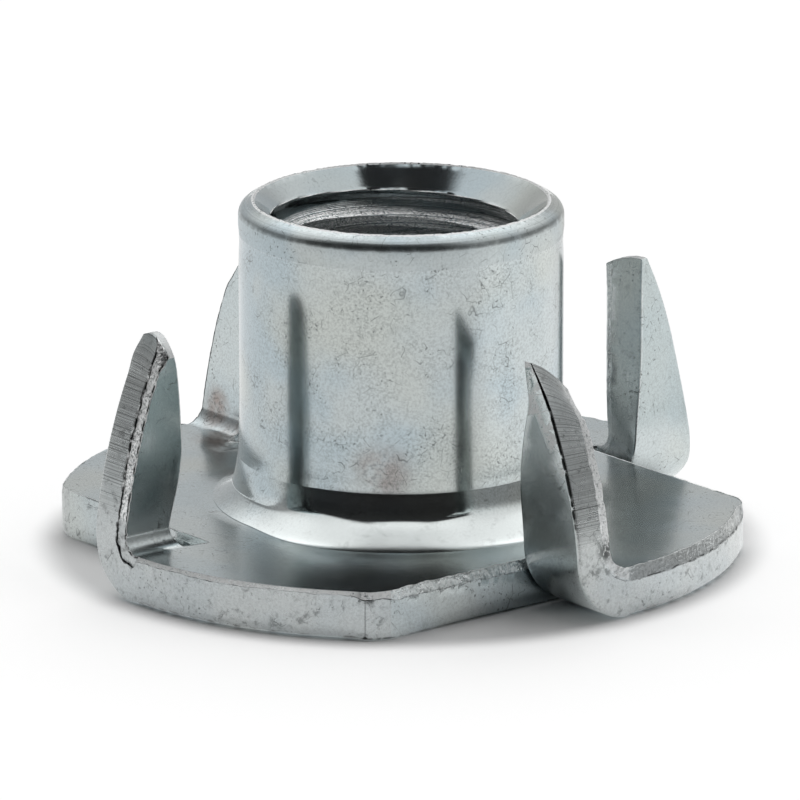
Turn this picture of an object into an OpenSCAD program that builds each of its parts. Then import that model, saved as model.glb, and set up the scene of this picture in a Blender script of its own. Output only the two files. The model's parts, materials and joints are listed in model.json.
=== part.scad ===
/*
  Four-prong tee nut, pressed from one disc of steel sheet.

  The barrel is drawn up from the middle of the disc and threaded inside. Four
  straight slits, each a chord of the disc, free four flaps. Each flap is bent
  up across its root, so that its slit edge becomes the prong's straight inner
  edge and its piece of the disc's rim becomes the prong's curved outer edge.

  Origin: on the axis, on the underside of the flange. The barrel and the
  prongs point along +Z.
*/

/* [Thread] */
// Nominal diameter of the thread
thread_d = 10; // [6:0.5:10.5]
// Pitch of the thread
thread_pitch = 1.5; // [0.75:0.25:2]

/* [Barrel] */
// Outer diameter of the barrel
barrel_d = 12; // [11:0.25:14]
// Overall height, from the underside of the flange to the crest of the rim
nut_h = 13.15; // [10:0.05:20]
// Diameter of the crest where the rim's land meets the mouth's countersink
mouth_d = 10.9; // [10.6:0.05:11]
// Slope of the rim's land, falling outwards from the crest
land_slope = 30; // [15:1:45]
// Radius that rounds the rim's land into the barrel's wall
rim_r = 0.4; // [0.1:0.05:0.5]
// Height above the flange at which the barrel's foot starts to flare
flare_h = 1.65; // [1:0.05:2.5]
// How far the flare reaches out where it meets the fillet
flare_run = 0.22; // [0.05:0.01:0.4]
// Height of the steep fillet between the flare and the flange
fillet_h = 0.57; // [0.3:0.01:0.9]
// How far the fillet reaches out along the flange
fillet_run = 0.78; // [0.4:0.01:1.2]
// Radius of the drawn entry under the flange
entry_r = 1.2; // [0.4:0.1:1.6]

/* [Flange] */
// Diameter of the disc
flange_d = 25.5; // [24:0.5:32]
// Thickness of the sheet
sheet_t = 1.8; // [1.2:0.1:2.2]
// Radius rolled onto the rim's lower edge by the blanking die
roll_r = 0.25; // [0.1:0.05:0.5]
// Break along the rim's upper edge, where the sheet tore off
edge_break = 0.12; // [0.05:0.01:0.3]
// Radius of the corner that each slit leaves on the flange
corner_r = 1.6; // [0.4:0.1:2.5]

/* [Prongs] */
// Number of prongs
prong_count = 4; // [2:1:5]
// Direction of the first slit's normal, measured from +X
first_prong = 38.5; // [0:0.5:90]
// Distance of each slit from the axis
slit_offset = 9.45; // [9:0.05:10]
// Width of each slit, between the flange and the prong's inner edge
slit_gap = 0.15; // [0.05:0.05:0.4]
// Distance of the bend's start past the foot of the slit's perpendicular
bend_offset = 0.5; // [0:0.1:1.5]
// Inner radius of the prong's bend
bend_r = 0.7; // [0.3:0.1:1.2]
// Part of the sheet's thickness between the bend's inner face and its neutral line
neutral_share = 0.25; // [0.2:0.05:0.5]
// Width left at each prong's blunt tip
tip_w = 0.35; // [0.1:0.05:1]
// How much lower the tip's end lies at the sheet's upper face than at its lower face
tip_drop = 0.6; // [0:0.05:1.2]
// Depth of the torn zone on the prong's inner edge, from the sheet's upper face
tear_depth = 0.8; // [0.2:0.1:1]
// How far the torn zone slopes back from the sheared part of that edge
tear_run = 0.3; // [0.05:0.05:0.5]

/* [Hidden] */
$fn = 96;
// Depth of an ISO internal thread for a pitch of 1
thread_depth_ratio = 1.0825;
// Overshoot that keeps cutting faces clear of the faces they cut
over = 0.5;
// How far each flange corner's rounding reaches past the rim, so that it crosses it
corner_cross = 0.02;

bore_r = (thread_d - thread_depth_ratio * thread_pitch) / 2;
barrel_r = barrel_d / 2;
mouth_r = mouth_d / 2;
flange_r = flange_d / 2;

// Rim: the land is a straight slope from the crest to the rim's rounding
rim_x = barrel_r - rim_r;
land_end_x = rim_x + rim_r * sin(land_slope);
land_drop = (land_end_x - mouth_r) * tan(land_slope);
land_end_z = nut_h - land_drop;
rim_z = land_end_z - rim_r * cos(land_slope);

// Flange corner: a circle that touches the slit and just crosses the rim
corner_n = slit_offset - corner_r;
corner_s = sqrt(pow(flange_r + corner_cross - corner_r, 2) - pow(corner_n, 2));
corner_dir = atan2(-corner_s, corner_n);
corner_reach = flange_r / cos(acos(slit_offset / flange_r) + corner_dir);

// Bend: quarter turn of the sheet about a line along the slit's normal
prong_in = slit_offset + slit_gap;
bend_out_r = bend_r + sheet_t;
bend_length = PI / 2 * (bend_r + neutral_share * sheet_t);
bend_axis_z = bend_out_r;

// Prong: its outer edge is the disc's own rim, stood on end by the bend
prong_arc_z = bend_axis_z - (bend_length - bend_offset);
prong_arc_r = norm([flange_r, bend_axis_z - prong_arc_z]);
prong_top = prong_arc_z + sqrt(pow(prong_arc_r, 2) - pow(prong_in + tip_w, 2));
prong_back_y = bend_offset - bend_r;

// Half section of the drawn blank: barrel, foot blend and full disc
module blank_section() {
    square([flange_r, sheet_t]);
    square([barrel_r, rim_z]);
    foot();
    rim();
}

// Foot of the barrel: a slight flare, then a steep fillet down to the flange
module foot() {
    polygon([
        [barrel_r - over, sheet_t - over],
        [barrel_r + flare_run + fillet_run, sheet_t - over],
        [barrel_r + flare_run + fillet_run, sheet_t],
        [barrel_r + flare_run, sheet_t + fillet_h],
        [barrel_r, sheet_t + flare_h],
        [barrel_r - over, sheet_t + flare_h]
    ]);
}

// Land and rounding at the top of the barrel
module rim() {
    translate([rim_x, rim_z]) circle(rim_r);
    polygon([
        [bore_r, rim_z - over],
        [rim_x, rim_z - over],
        [rim_x, rim_z],
        [land_end_x, land_end_z],
        [mouth_r, nut_h],
        [bore_r, nut_h]
    ]);
}

// Everything that the tools take off the half section
module section_cuts() {
    bore_cut();
    mouth_cut();
    entry_cut();
    rolled_edge_cut();
    edge_break_cut();
}

module bore_cut() {
    translate([0, -over]) square([bore_r, nut_h + 2 * over]);
}

// Countersink at 45 degrees, from the rim's crest down to the bore
module mouth_cut() {
    polygon([
        [0, nut_h - mouth_r],
        [mouth_r + over, nut_h + over],
        [0, nut_h + over]
    ]);
}

// Rounded entry where the sheet turns up into the barrel
module entry_cut() {
    difference() {
        translate([bore_r - over, -over]) square(entry_r + over);
        translate([bore_r + entry_r, entry_r]) circle(entry_r);
    }
}

module rolled_edge_cut() {
    difference() {
        translate([flange_r - roll_r, -over]) square(roll_r + over);
        translate([flange_r - roll_r, roll_r]) circle(roll_r);
    }
}

module edge_break_cut() {
    polygon([
        [flange_r - edge_break, sheet_t],
        [flange_r + over, sheet_t],
        [flange_r + over, sheet_t - edge_break],
        [flange_r, sheet_t - edge_break]
    ]);
}

module blank() {
    rotate_extrude() difference() {
        blank_section();
        section_cuts();
    }
}

// Places its children once for each prong. In the children's frame +X is the
// slit's normal, pointing away from the axis, and the flap's point is at -Y.
module each_prong() {
    for (i = [0 : prong_count - 1])
        rotate(first_prong + i * 360 / prong_count) children();
}

// Plan of what leaves the disc when one flap is cut and bent up
module flap_plan() {
    reach = flange_r + over;
    translate([slit_offset, -reach]) square([reach, reach + bend_offset]);
    corner_plan();
}

// Sharp corner beside the slit's mouth, outside the rounding circle
module corner_plan() {
    difference() {
        polygon([
            [corner_n, -corner_s],
            [slit_offset + over, -corner_s],
            corner_reach * [cos(corner_dir), sin(corner_dir)] + [over, -over],
            (flange_r + over) * [cos(corner_dir), sin(corner_dir)]
        ]);
        translate([corner_n, -corner_s]) circle(corner_r);
    }
}

// Bent root and upright blade of one prong
module prong() {
    intersection() {
        union() {
            prong_bend();
            prong_blade();
        }
        cylinder(r = flange_r, h = prong_top);
    }
}

// Section across the prong: X across its width from the slit edge, Y through
// the sheet from its upper face, with the torn zone sloping off one corner
module prong_section() {
    polygon([
        [tear_run, 0],
        [flange_r - prong_in, 0],
        [flange_r - prong_in, sheet_t],
        [0, sheet_t],
        [0, tear_depth]
    ]);
}

module prong_bend() {
    translate([prong_in, bend_offset, bend_axis_z])
        rotate([0, 90, 0])
            rotate([0, 0, -90])
                rotate_extrude(angle = 90)
                    translate([bend_r, 0]) mirror([1, -1]) prong_section();
}

module prong_blade() {
    intersection() {
        translate([prong_in, prong_back_y, bend_axis_z])
            linear_extrude(prong_top - bend_axis_z) mirror([0, 1]) prong_section();
        translate([0, prong_back_y, prong_arc_z])
            rotate([90, 0, 0]) cylinder(r = prong_arc_r, h = sheet_t);
        tip_bevel();
    }
}

// Everything under the prong's end, which slopes through the sheet
module tip_bevel() {
    slope_over = over * tip_drop / sheet_t;
    translate([0, prong_back_y, 0]) rotate([90, 0, 90]) linear_extrude(flange_r) polygon([
        [-sheet_t - over, 0],
        [over, 0],
        [over, prong_top - tip_drop - slope_over],
        [-sheet_t - over, prong_top + slope_over]
    ]);
}

module tee_nut() {
    color("silver") {
        difference() {
            blank();
            each_prong()
                translate([0, 0, -over]) linear_extrude(sheet_t + 2 * over) flap_plan();
        }
        each_prong() prong();
    }
}

tee_nut();
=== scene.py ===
# %% [markdown]
# # A four-prong tee nut
#
# A tee nut is pressed from one disc of steel sheet. The middle of the disc is
# drawn up into a barrel and tapped. Four straight slits free four flaps, which
# are bent up as prongs. The whole nut is then plated with bright zinc.
#
# This script builds it the way the press does: it draws the flat blank, shears
# its edges, and bends the flaps up with the sheet's own bend rule. The packed
# CAD model comes first, because it fixes the frame and the sizes.

# %% Load the fixed frame
import json
import math
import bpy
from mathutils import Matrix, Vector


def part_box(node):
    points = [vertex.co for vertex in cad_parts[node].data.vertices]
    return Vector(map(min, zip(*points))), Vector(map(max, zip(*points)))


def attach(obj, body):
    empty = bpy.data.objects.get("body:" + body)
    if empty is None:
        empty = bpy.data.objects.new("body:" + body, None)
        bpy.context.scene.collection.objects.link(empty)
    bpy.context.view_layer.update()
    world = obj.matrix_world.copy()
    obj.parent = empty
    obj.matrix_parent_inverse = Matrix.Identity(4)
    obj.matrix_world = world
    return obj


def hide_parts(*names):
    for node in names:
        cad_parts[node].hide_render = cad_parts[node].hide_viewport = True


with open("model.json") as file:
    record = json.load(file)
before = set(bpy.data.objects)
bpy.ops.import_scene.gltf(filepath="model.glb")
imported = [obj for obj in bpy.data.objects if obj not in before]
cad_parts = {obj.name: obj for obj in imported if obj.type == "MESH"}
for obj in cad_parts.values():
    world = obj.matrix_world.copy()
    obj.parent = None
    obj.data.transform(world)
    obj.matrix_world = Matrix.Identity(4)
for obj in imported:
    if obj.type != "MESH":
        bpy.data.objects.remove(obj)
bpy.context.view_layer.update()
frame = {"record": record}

from types import SimpleNamespace

import bmesh
import bpy
import numpy as np
from mathutils import Vector, geometry, noise

# %% [markdown]
# ## Sizes
#
# Every length is in millimetres and becomes metres when a mesh is made. The
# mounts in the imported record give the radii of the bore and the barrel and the
# sheet's thickness, and the CAD box gives the height, so the looks follow the
# solid that they cover.

# %% Sizes of the blank, the barrel and the prongs
MM = 0.001
mounts = {mount["name"]: mount for mount in frame["record"]["mounts"]}

nut_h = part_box("tee_nut")[1].z / MM
bore_r = mounts["thread"]["dims"]["r_mm"]
barrel_r = mounts["barrel"]["dims"]["r_mm"]
sheet_t = mounts["flange_seat"]["pos_m"][2] / MM

thread_pitch = 1.5
mouth_r = 5.45
land_slope = math.radians(30)
rim_r = 0.4
entry_r = 1.2

flange_r = 12.75
corner_r = 1.6

prong_count = 4
BACK_RIGHT, BACK_LEFT, FRONT_LEFT, FRONT_RIGHT = range(prong_count)
first_prong = math.radians(38.5)
slit_offset = 9.45
slit_gap = 0.15
bend_offset = 0.5
bend_r = 0.7
neutral_share = 0.25
prong_top = 9.27

bend_out_r = bend_r + sheet_t
neutral_r = bend_r + neutral_share * sheet_t
bend_length = math.pi / 2 * neutral_r
prong_in = slit_offset + slit_gap
print(f"barrel {2 * barrel_r:.2f}, height {nut_h:.2f}, sheet {sheet_t:.2f} mm")

# %% [markdown]
# ## Small tools
#
# Tool marks need noise that is the same on every run. Blender's own noise has
# no seed, so each use shifts its points by a different amount instead.


# %% Easing, noise and objects
def ease(value, low, high):
    """0 below low, 1 above high, and a smooth step between."""
    share = np.clip((value - low) / (high - low), 0, 1)
    return share * share * (3 - 2 * share)


def bell(value, centre, width):
    return np.exp(-(((value - centre) / width) ** 2))


def grain(points, size, shift, octaves=2):
    """Fractal noise, about -1 to 1, whose features are size mm across."""
    scaled = np.asarray(points, float) / size + shift
    return np.array([noise.fractal(Vector(p), 1.0, 2.0, octaves) for p in scaled])


def add_object(name, data):
    """Puts a mesh or a camera into the scene as an object."""
    made = bpy.data.objects.new(name, data)
    bpy.context.scene.collection.objects.link(made)
    return made


# %% [markdown]
# ## The camera
#
# The nut is small, so it is seen through a long lens from 300 mm away. The
# camera looks down at it by a little under 16 degrees.

# %% Camera
camera_distance = 300.0
camera_elevation = math.radians(15.637)
camera_target = (-0.044, 0.0, 5.422)
image_width = 800
focal_pixels = 8098.08
sensor_width = 36.0
nearest, farthest = 0.01, 10


def aim_camera():
    lens = bpy.data.cameras.new("camera")
    lens.sensor_width = sensor_width
    lens.lens = focal_pixels / image_width * sensor_width
    lens.clip_start = nearest
    lens.clip_end = farthest
    camera = add_object("camera", lens)
    back = camera_distance * math.cos(camera_elevation)
    up = camera_distance * math.sin(camera_elevation)
    x, y, z = camera_target
    camera.location = (x * MM, (y - back) * MM, (z + up) * MM)
    camera.rotation_euler = (math.pi / 2 - camera_elevation, 0, 0)
    bpy.context.scene.camera = camera
    print(f"camera lens {lens.lens:.1f} mm")


aim_camera()

# %% [markdown]
# ## The flat blank
#
# The outline of the blank is one closed line. For each prong it runs along the
# rim, round the flange's corner, in along the slit's wall, across the slit's
# blind end, out along the flap to its blunt tip, and back along the flap's
# curved edge to the rim. Each flap has its own frame: n points out across the
# slit and s runs along it.

# %% Outline of the blank
outline_step = 0.105
arc_points = 200
curve_points = 300
corner_n = slit_offset - corner_r
corner_s = math.sqrt((flange_r - corner_r) ** 2 - corner_n**2)
corner_dir = math.atan2(-corner_s, corner_n)
root_dir = math.asin(bend_offset / flange_r)
sector = 2 * math.pi / prong_count
tip_s = bend_offset - bend_length - (prong_top - bend_out_r)
arc_gain = 0.067
KINDS = ["rim", "corner", "slit", "end", "inner", "tip", "outer"]


def prong_turn(prong):
    """The cosine and sine of a prong's direction."""
    turn = first_prong + prong * sector
    return math.cos(turn), math.sin(turn)


def from_prong(prong, n, s):
    """x and y of places that are given in a prong's own frame."""
    cosine, sine = prong_turn(prong)
    return cosine * n - sine * s, sine * n + cosine * s


def outward_of(points, prong):
    """How far points lie from the axis, in a prong's direction."""
    return points[:, :2] @ prong_turn(prong)


def flap_reach(s):
    """How far the flap's curved edge lies across the slit, at s along it."""
    standing = ease(-s, -bend_offset, bend_length - bend_offset)
    return np.sqrt((flange_r + arc_gain * standing) ** 2 - s**2)


def arc(centre, radius, start, end):
    angles = np.linspace(start, end, arc_points)
    return np.stack([centre[0] + radius * np.cos(angles),
                     centre[1] + radius * np.sin(angles)], 1)


def sector_lines():
    """One prong's share of the outline, in that prong's own frame, kind by kind."""
    back = np.linspace(tip_s, bend_offset, curve_points)
    tip_n = float(flap_reach(np.array(tip_s)))
    return {
        "rim": arc((0, 0), flange_r, root_dir - sector, corner_dir),
        "corner": arc((corner_n, -corner_s), corner_r, corner_dir, 0),
        "slit": np.array([[slit_offset, -corner_s], [slit_offset, bend_offset]]),
        "end": np.array([[slit_offset, bend_offset], [prong_in, bend_offset]]),
        "inner": np.array([[prong_in, bend_offset], [prong_in, tip_s]]),
        "tip": np.array([[prong_in, tip_s], [tip_n, tip_s]]),
        "outer": np.stack([flap_reach(back), back], 1),
    }


def spaced(line, step):
    """Points at even steps along a line, without its last point."""
    lengths = np.concatenate([[0], np.cumsum(np.linalg.norm(np.diff(line, axis=0), axis=1))])
    count = max(2, round(lengths[-1] / step))
    at = np.linspace(0, lengths[-1], count + 1)[:-1]
    return np.stack([np.interp(at, lengths, line[:, k]) for k in range(2)], 1)


def draw_outline():
    """The whole outline: points, the inward direction, and what each point belongs to."""
    rows = []
    for prong in range(prong_count):
        for kind, line in sector_lines().items():
            local = spaced(line, outline_step)
            share = np.linspace(0, 1, len(local), endpoint=False)
            world = np.stack(from_prong(prong, *local.T), 1)
            tags = np.tile([prong, KINDS.index(kind)], (len(local), 1))
            rows.append(np.hstack([world, local, share[:, None], tags]))
    table = np.vstack(rows)
    xy = table[:, :2]
    tangent = np.roll(xy, -1, 0) - np.roll(xy, 1, 0)
    inward = np.stack([-tangent[:, 1], tangent[:, 0]], 1)
    inward /= np.linalg.norm(inward, axis=1)[:, None]
    steps = np.linalg.norm(np.roll(xy, -1, 0) - xy, axis=1)
    return SimpleNamespace(
        xy=xy, inward=inward, n=table[:, 2], s=table[:, 3], share=table[:, 4],
        prong=table[:, 5].astype(int), kind=table[:, 6].astype(int),
        along=np.concatenate([[0], np.cumsum(steps)[:-1]]))


outline = draw_outline()
print(f"outline of {len(outline.along)} points, {outline.along[-1]:.1f} mm long")

# %% [markdown]
# ## The sheared edge
#
# A press doesn't cut sheet cleanly. From the side that the punch enters, an
# edge is first rolled over, then burnished by the die, and then torn, with a
# fine burr where the tear comes out. So the edge is a band of points through
# the sheet: each outline point gets a small profile of its own, whose zones
# vary along the edge. A bevel could only make a clean corner.

# %% Zones of the edge
# Six sizes for each kind of edge: the rollover's radius, the height where the
# tear starts, the step there, how far the tear runs in, its roughness, its burr
ZONES = {
    "rim": (0.44, 1.60, 0.012, 0.04, 0.010, 0.020),
    "corner": (0.30, 1.55, 0.012, 0.04, 0.012, 0.025),
    "slit": (0.14, 1.50, 0.010, 0.04, 0.012, 0.015),
    "end": (0.06, 1.15, 0.000, 0.04, 0.010, 0.010),
    "inner": (0.10, 1.00, 0.010, 0.28, 0.015, 0.010),
    "tip": (0.08, 1.30, 0.000, 0.06, 0.010, 0.010),
    "outer": (0.15, 1.25, 0.020, 0.08, 0.012, 0.010),
}
# The same for the edges that the press cut differently, by prong and kind
ODD_ZONES = {
    (BACK_RIGHT, "rim"): (0.42, 1.34, 0.025, 0.18, 0.014, 0.040),
    (BACK_RIGHT, "inner"): (0.10, 1.50, 0.005, 0.05, 0.008, 0.010),
    (FRONT_LEFT, "outer"): (0.12, 1.25, 0.070, -0.03, 0.028, 0.050),
    (FRONT_RIGHT, "outer"): (0.13, 1.34, 0.030, 0.08, 0.018, 0.045),
    (FRONT_RIGHT, "rim"): (0.46, 1.69, 0.010, 0.17, 0.006, 0.004),
    (FRONT_LEFT, "inner"): (0.10, 1.50, 0.005, 0.05, 0.008, 0.010),
    (FRONT_LEFT, "tip"): (0.08, 0.50, 0.000, 0.60, 0.004, 0.000),
    (FRONT_RIGHT, "slit"): (0.16, 1.42, 0.015, 0.05, 0.018, 0.035),
}
roll_angles = np.radians([0, 22, 45, 68, 90])
burnish_shares = [0.35, 0.7, 1.0]
tear_shares = [0.06, 0.25, 0.5, 0.75, 1.0]
edge_rows = len(roll_angles) + len(burnish_shares) + len(tear_shares) + 2
ease_points = 9
tear_wander = 0.05
bend_rough = 0.03
least_burnish, least_tear = 0.3, 0.08
burnish_relief = 0.006
burr_foot, burr_lean, burr_width = 0.01, 0.012, 0.045
# The band is thinner at a prong's inner tip corner, where it has less room
crowded_from, crowded_reach, least_room = 0.17, 1.4, 0.12
# A groove down each flange corner, by share of the corner's arc
groove_depth, groove_at, groove_width = 0.05, 0.04, 0.035


def at_each_point(table, otherwise):
    """The row of a table by prong and kind for each outline point."""
    return np.array([table.get((prong, KINDS[kind]), otherwise[KINDS[kind]])
                     for prong, kind in zip(outline.prong, outline.kind)])


def zone_values():
    """The zone sizes at each outline point, eased where one kind meets the next."""
    table = at_each_point(ODD_ZONES, ZONES)
    window = np.hanning(ease_points)
    window /= window.sum()
    reach = len(window) // 2
    padded = np.concatenate([table[-reach:], table, table[:reach]])
    return np.stack([np.convolve(padded[:, k], window, "valid") for k in range(table.shape[1])])


def of_kind(name):
    return outline.kind == KINDS.index(name)


def shear_edges():
    """Inward offset and height of every point of the edge band, one row per outline point."""
    roll, tear_h, step, tear_run, rough, burr = zone_values()
    crowded = np.hypot(outline.n - prong_in - crowded_from, outline.s - tip_s)
    room = np.clip(crowded / crowded_reach, least_room, 1)
    ring = np.column_stack([outline.xy, np.zeros(len(roll))])
    bending = of_kind("outer") & (outline.s > bend_offset - bend_length)
    rough = rough + bend_rough * bending
    tear_h = tear_h + tear_wander * grain(ring, 1.3, 11) + tear_wander * grain(ring, 0.3, 17)
    tear_h = np.clip(tear_h, roll + least_burnish, sheet_t - least_tear)
    groove = groove_depth * of_kind("corner") * bell(outline.share, groove_at, groove_width)
    rows = [(roll * (1 - math.sin(angle)) + groove, roll * (1 - math.cos(angle)))
            for angle in roll_angles]
    for share in burnish_shares:
        ring[:, 2] = height = roll + share * (tear_h - roll)
        rows.append((burnish_relief * (1 + grain(ring, 0.5, 23)) + groove, height))
    for share in tear_shares:
        ring[:, 2] = height = tear_h + share * (sheet_t - burr_foot - tear_h)
        bite = np.clip(grain(ring, 0.16, 31, 3) + 0.6 * grain(ring, 0.5, 37) + 0.2, -0.5, 1.3)
        rows.append((step + groove + tear_run * share + rough * bite, height))
    ring[:, 2] = 0
    lift = burr * np.clip(0.75 + 1.3 * grain(ring, 0.4, 41, 3), 0.12, 1.9)
    burr_in = rows[-1][0] + burr_lean
    rows += [(burr_in, sheet_t + lift), (burr_in + burr_width, np.full(len(roll), sheet_t))]
    offsets, heights = np.transpose(rows, (1, 2, 0))
    return offsets * room[:, None], heights


edge_in, edge_h = shear_edges()
edge_xy = outline.xy[:, None, :] + outline.inward[:, None, :] * edge_in[:, :, None]
print(f"edge band of {edge_in.size} points")

# %% [markdown]
# ## Bending the flaps up
#
# Bent sheet keeps its length along one line inside its thickness, the neutral
# line. A point of the flat blank that lies q past the start of the bend turns
# by q over the neutral radius, at its own distance from the bend's centre, and
# what lies past the quarter turn stands straight up. The press bends no two
# prongs alike, so each one then gets its own small twist and lean.

# %% The bend rule
# What a prong can be given: twist is in degrees, thin, trim, narrow, blunt,
# tip_from and fold are shares, and the others are in mm. AS_BENT has one row
# for each prong, and what a row doesn't name stays as in STRAIGHT.
STRAIGHT = dict.fromkeys(("twist", "thin", "trim", "narrow", "undercut", "tall", "lean_n", "waist",
                          "blunt", "dome", "swell", "nibble", "fold"), 0.0)
STRAIGHT |= {"tip_slope": 0.45, "tip_from": 0.75}
AS_BENT = [SimpleNamespace(**(STRAIGHT | own)) for own in (
    {"twist": 12.0, "trim": 0.06, "narrow": 0.22, "undercut": 0.16, "tall": 0.4, "dome": 0.1},
    {"narrow": 0.35},
    {"trim": 0.02, "narrow": 0.1, "undercut": 0.4, "tall": 0.3, "lean_n": 0.38, "waist": 0.45,
     "blunt": 0.25, "dome": 0.3},
    {"fold": 0.40, "thin": 0.16, "tall": 0.05, "tip_slope": 1.25, "tip_from": 0.58, "swell": 0.25,
     "nibble": 0.2},
)]
prong_foot = 1.2
twist_middle = 0.2
nibble_at, nibble_reach = 7.8, 0.9
swell_at, swell_reach = 4.8, 1.7
# The front right prong is folded along a slope, and the painted highlight on
# the facet beside the fold begins along a steeper one
crease_in = 0.25
fold_slope, fold_height = 0.35, 4.5
facet_slope, facet_height = 1.1, 4.8


def shape_prong(n, lean, up, h, bent):
    """Gives an upright prong its own twist, taper and tip."""
    rise = np.clip((up - prong_foot) / (prong_top - prong_foot), 0, 1.1)
    through = h / sheet_t
    shrink = bent.trim * ease(rise, -0.1, 0.15) + bent.narrow * rise * (1.1 - rise)
    width = flange_r - prong_in
    n = prong_in + (n - prong_in) * (1 - shrink) * (1 + bent.blunt * ease(rise, 0.8, 1.0))
    inner_share = np.clip(1 - (n - prong_in) / width, 0, 1)
    undercut = bent.undercut * (1.8 - ease(rise, 0, 0.35)) * ease(up, 0.6, 2.2)
    n = n + undercut * through * inner_share**2
    n = n + bent.waist * inner_share**2 * (1 - ease(up, 2.6, 5.4)) * ease(up, 1.0, 2.6)
    nibble = bent.nibble * bell(up, nibble_at, nibble_reach)
    n = n + (nibble - bent.swell * bell(up, swell_at, swell_reach)) * inner_share**2
    twist = math.radians(bent.twist) * ease(rise, 0, 0.6)
    dn, ds = n - prong_in, lean + twist_middle
    n = prong_in + dn * np.cos(twist) - ds * np.sin(twist) + bent.lean_n * rise**3
    lean = -twist_middle + dn * np.sin(twist) + ds * np.cos(twist)
    drop = bent.tip_slope * through**1.4 * ease(rise, bent.tip_from, 1.0)
    drop = drop + bent.dome * (2 * through - 1) ** 2 * ease(rise, 0.85, 1.0)
    past = n - flange_r + crease_in + fold_slope * (up - fold_height)
    lean = lean + bent.fold * np.clip(past, 0, None) * ease(up, 4.2, 5.0)
    return n, lean, up + bent.tall * rise**2 - drop


def bend_up(xy, height):
    """Places points of the flat blank, given at a height in the sheet, on the pressed nut."""
    placed = np.column_stack([xy, height]).astype(float)
    for prong, bent in enumerate(AS_BENT):
        cosine, sine = prong_turn(prong)
        across = cosine * xy[:, 0] + sine * xy[:, 1]
        along = -sine * xy[:, 0] + cosine * xy[:, 1]
        flap = (across > slit_offset + slit_gap / 2) & (along < bend_offset)
        n, q, h = across[flap], bend_offset - along[flap], height[flap]
        angle = np.clip(q / neutral_r, 0, math.pi / 2)
        past = np.clip(q - bend_length, 0, None)
        worn = bent.thin * ease(q / bend_length, 0.2, 1.2) * (1 - 0.8 * ease(past, 3.2, 5.6))
        radius = bend_out_r - h * (1 - worn)
        lean = bend_offset - radius * np.sin(angle)
        up = bend_out_r - radius * np.cos(angle) + past
        n, lean, up = shape_prong(n, lean, up, h, bent)
        placed[flap] = np.column_stack([*from_prong(prong, n, lean), up])
    return placed


# %% [markdown]
# ## Filling the faces
#
# The sheet's two faces are filled by a Delaunay triangulation between the edge
# band and a circle round the barrel. It takes any outline, and extra points
# inside it let the bends curve. Closer rows of points follow each bend.

# %% Points inside the blank
columns = 360
foot_ring_r = 8.7
entry_ring_r = bore_r + entry_r
face_step = 0.7
bend_rows, bend_step = 13, 0.4
ring_clearance, seed_clearance = 0.25, 0.2
ring_angles = np.arange(columns) * 2 * math.pi / columns
# Dents that the tools left in the flange's upper face: x, y, radius and depth
DENTS = [(-6.5, 6.7, 0.8, 0.12), (-9.4, -3.3, 0.5, 0.03)]


def circle(radius):
    return radius * np.stack([np.cos(ring_angles), np.sin(ring_angles)], 1)


def seed_points():
    """A grid over the disc, with closer rows across each bend."""
    axis = np.arange(-flange_r, flange_r, face_step)
    grid = np.array([(x + 0.3 * face_step * (k % 2), y) for k, y in enumerate(axis) for x in axis])
    rows = [grid]
    for prong in range(prong_count):
        n, q = np.meshgrid(np.arange(prong_in + 0.3, flange_r, bend_step),
                           np.linspace(0, bend_length, bend_rows))
        rows.append(np.stack(from_prong(prong, n.ravel(), bend_offset - q.ravel()), 1))
    for x, y, radius, _ in DENTS:
        fine = np.arange(-1.6, 1.7, 0.2) * radius
        dx, dy = np.meshgrid(fine, fine)
        rows.append(np.stack([x + dx.ravel(), y + dy.ravel()], 1))
    return np.vstack(rows)


def inside(points, polygon):
    """Which points lie inside a closed polygon, by counting crossings."""
    x, y = points[:, 0][:, None], points[:, 1][:, None]
    ax, ay = polygon[:, 0], polygon[:, 1]
    bx, by = np.roll(ax, -1), np.roll(ay, -1)
    spans = (ay > y) != (by > y)
    with np.errstate(divide="ignore", invalid="ignore"):
        crossing = spans & (x < (bx - ax) * (y - ay) / (by - ay) + ax)
    return crossing.sum(1) % 2 == 1


def clear_of(points, others, gap):
    apart = np.array([np.min(np.hypot(*(others - point).T)) for point in points])
    return points[apart > gap]


def fill_face(boundary, ring_r):
    """Triangles between a boundary line and a circle: returns the added points and the faces.
    The faces index the boundary first, then the circle, then the added points."""
    ring = circle(ring_r)
    fixed = np.vstack([boundary, ring])
    seeds = seed_points()
    seeds = seeds[inside(seeds, boundary) & (np.hypot(*seeds.T) > ring_r + ring_clearance)]
    seeds = clear_of(seeds, fixed, seed_clearance)
    points = np.vstack([fixed, seeds])
    loops = [(0, len(boundary)), (len(boundary), len(fixed))]
    edges = [(k, k + 1 if k + 1 < end else start) for start, end in loops for k in range(start, end)]
    made = geometry.delaunay_2d_cdt([Vector(p) for p in points], edges, [], 0, 1e-7)
    verts, faces, origins = made[0], made[2], made[3]
    if len(verts) != len(points):
        raise ValueError(f"the outline crosses itself: {len(points)} points became {len(verts)}")
    back = [origin[0] for origin in origins]
    faces = np.array([[back[k] for k in face] for face in faces])
    centre = points[faces].mean(1)
    keep = inside(centre, boundary) & (np.hypot(*centre.T) > ring_r * math.cos(math.pi / columns))
    return seeds, faces[keep]


top_seeds, top_faces = fill_face(edge_xy[:, -1], foot_ring_r)
under_seeds, under_faces = fill_face(edge_xy[:, 0], entry_ring_r)
print(f"top face {len(top_faces)} triangles, underside {len(under_faces)}")

# %% [markdown]
# ## The barrel's outside
#
# The barrel is a surface of revolution, so its rows are one profile turned
# round the axis. The profile climbs the blend at the foot, the wall, the
# rounding under the rim and the sloping land, up to the crest of the mouth.
# Drawing leaves the wall a little wider at the foot and pinched under the lip.

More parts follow.
